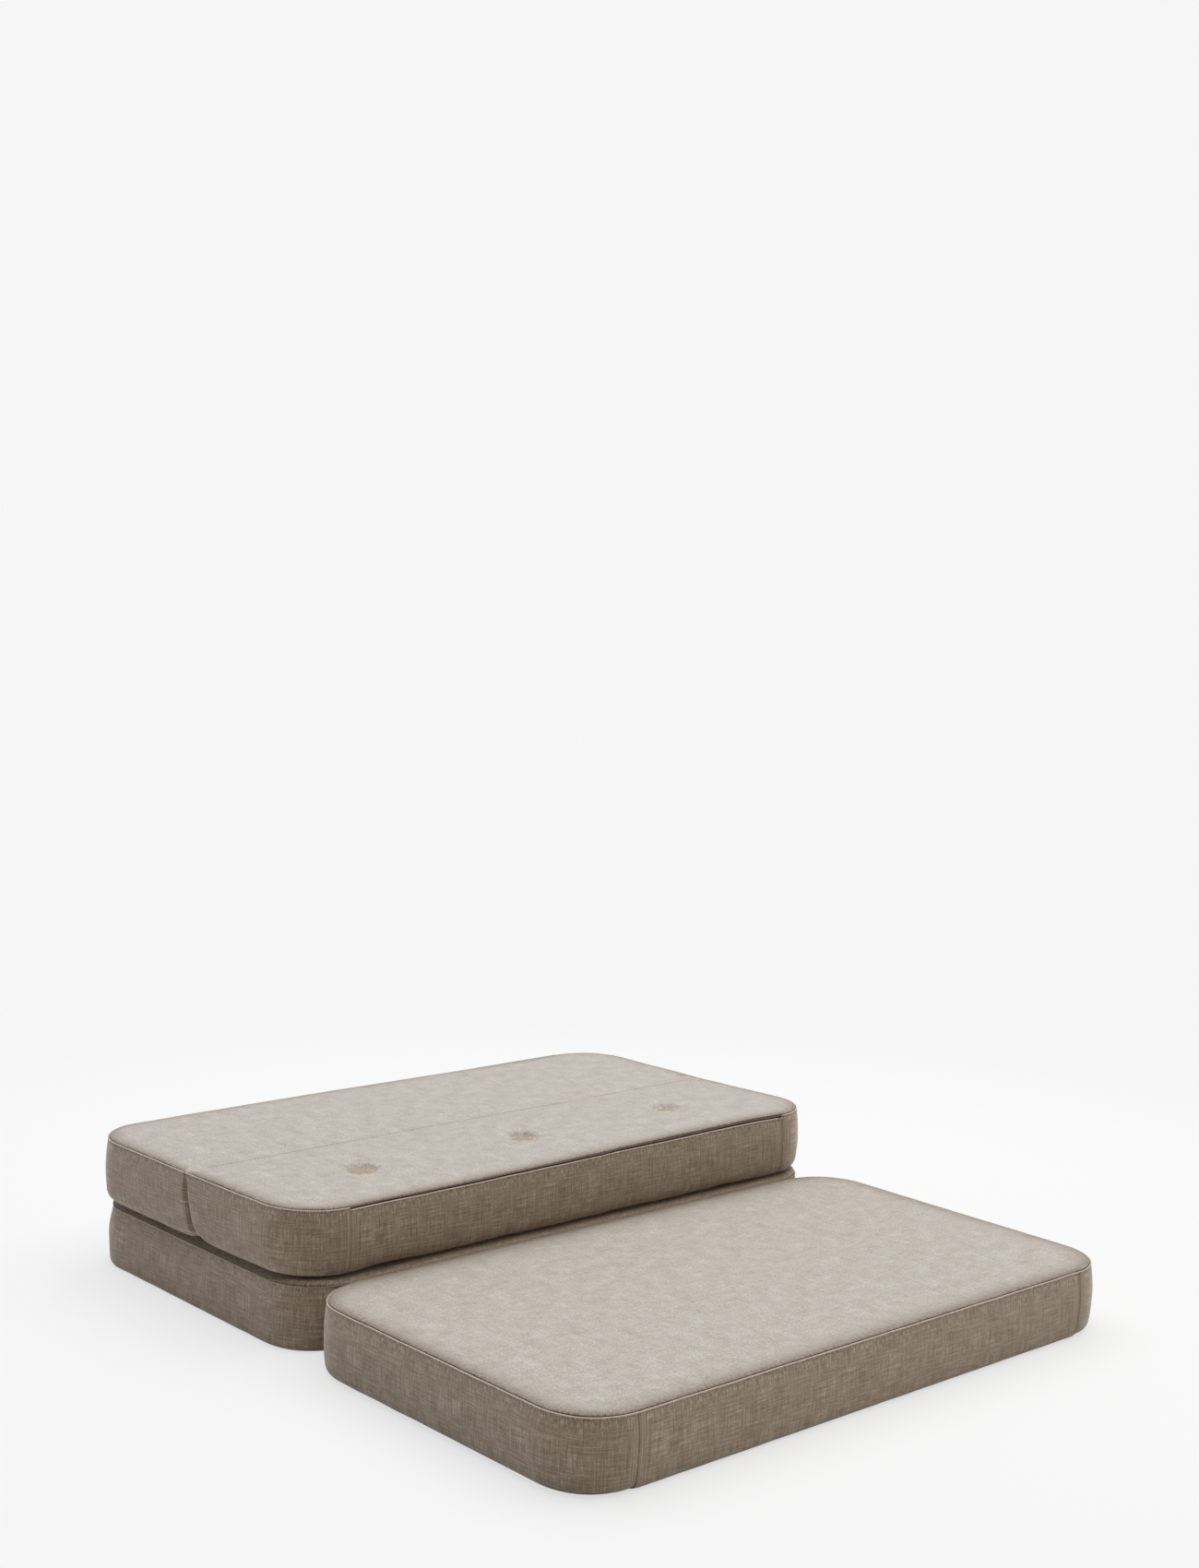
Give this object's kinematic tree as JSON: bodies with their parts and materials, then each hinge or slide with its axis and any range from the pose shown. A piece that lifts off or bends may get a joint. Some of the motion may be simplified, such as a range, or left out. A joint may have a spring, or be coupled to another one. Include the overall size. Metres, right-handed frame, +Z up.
{
  "type": "fold-out foam sofa",
  "caption": "Low foam sofa of cloth-covered cushions on sewn hinges: a front and a base section on the floor, and a tufted folding back lying on the base.",
  "frame": {"origin": "on the floor, under the middle of the sofa as it lies in the picture", "axes": "+X to the right along the width seen from the front, -Y towards the front, +Z up"},
  "size_m": [1.206, 1.365, 0.2356],
  "materials": {
    "top_cloth": "flat-woven melange upholstery cloth, pale side up",
    "side_cloth": "flat-woven melange upholstery cloth with slubs",
    "foam": "open-cell cold foam",
    "zip_tape": "nylon coil on woven tape",
    "slider_metal": "nickel-plated zinc",
    "button_leather": "plain sand-coloured leather",
    "twine": "waxed tufting twine",
    "washer_plastic": "moulded"
  },
  "bodies": {
    "base_section": {"base_foam": "foam", "base_top_cover": "top_cloth", "base_side_band": "side_cloth", "base_zip_panel": "side_cloth", "base_bottom_cover": "side_cloth", "base_zip": "zip_tape", "front_hinge_tape": "side_cloth", "rear_hinge_tape": "side_cloth"},
    "front_section": {"front_foam": "foam", "front_top_cover": "top_cloth", "front_side_band": "side_cloth", "front_zip_panel": "side_cloth", "front_bottom_cover": "side_cloth", "front_zip": "zip_tape"},
    "back_lower_half": {"back_lower_foam": "foam", "back_lower_top_cover": "top_cloth", "back_lower_side_band": "side_cloth", "back_lower_zip_panel": "side_cloth", "back_lower_bottom_cover": "side_cloth", "back_lower_zip": "zip_tape", "back_fold_tape": "top_cloth"},
    "back_upper_half": {"back_upper_foam": "foam", "back_upper_top_cover": "top_cloth", "back_upper_side_band": "side_cloth", "back_upper_zip_panel": "side_cloth", "back_upper_bottom_cover": "side_cloth", "back_upper_zip": "zip_tape", "tuft_buttons": "button_leather", "tuft_twines": "twine", "tuft_washers": "washer_plastic"},
    "base_zip_slider": {"base_zip_slider": "slider_metal"},
    "front_zip_slider": {"front_zip_slider": "slider_metal"},
    "back_lower_zip_slider": {"back_lower_zip_slider": "slider_metal"},
    "back_upper_zip_slider": {"back_upper_zip_slider": "slider_metal"}
  },
  "joints": [
    {"name": "front_fold", "type": "hinge", "parent": "base_section", "child": "front_section", "pos_m": [0, 0, 0.1164], "axis": [-1, 0, 0], "range_deg": [0, 90], "deforming": ["front_hinge_tape"]},
    {"name": "back_fold", "type": "hinge", "parent": "base_section", "child": "back_lower_half", "pos_m": [0, 0.6818, 0.118], "axis": [-1, 0, 0], "range_deg": [0, 180], "deforming": ["rear_hinge_tape"]},
    {"name": "upper_back_fold", "type": "hinge", "parent": "back_lower_half", "child": "back_upper_half", "pos_m": [0, 0.3423, 0.2358], "axis": [1, 0, 0], "range_deg": [-180, 0], "deforming": ["back_fold_tape"]},
    {"name": "base_zip_slide", "type": "slide", "parent": "base_section", "child": "base_zip_slider", "axis": [1, 0, 0], "range_m": [-0.975, 0]},
    {"name": "front_zip_slide", "type": "slide", "parent": "front_section", "child": "front_zip_slider", "axis": [1, 0, 0], "range_m": [-0.975, 0]},
    {"name": "back_lower_zip_slide", "type": "slide", "parent": "back_lower_half", "child": "back_lower_zip_slider", "axis": [1, 0, 0], "range_m": [-0.975, 0]},
    {"name": "back_upper_zip_slide", "type": "slide", "parent": "back_upper_half", "child": "back_upper_zip_slider", "axis": [1, 0, 0], "range_m": [-0.975, 0]}
  ]
}
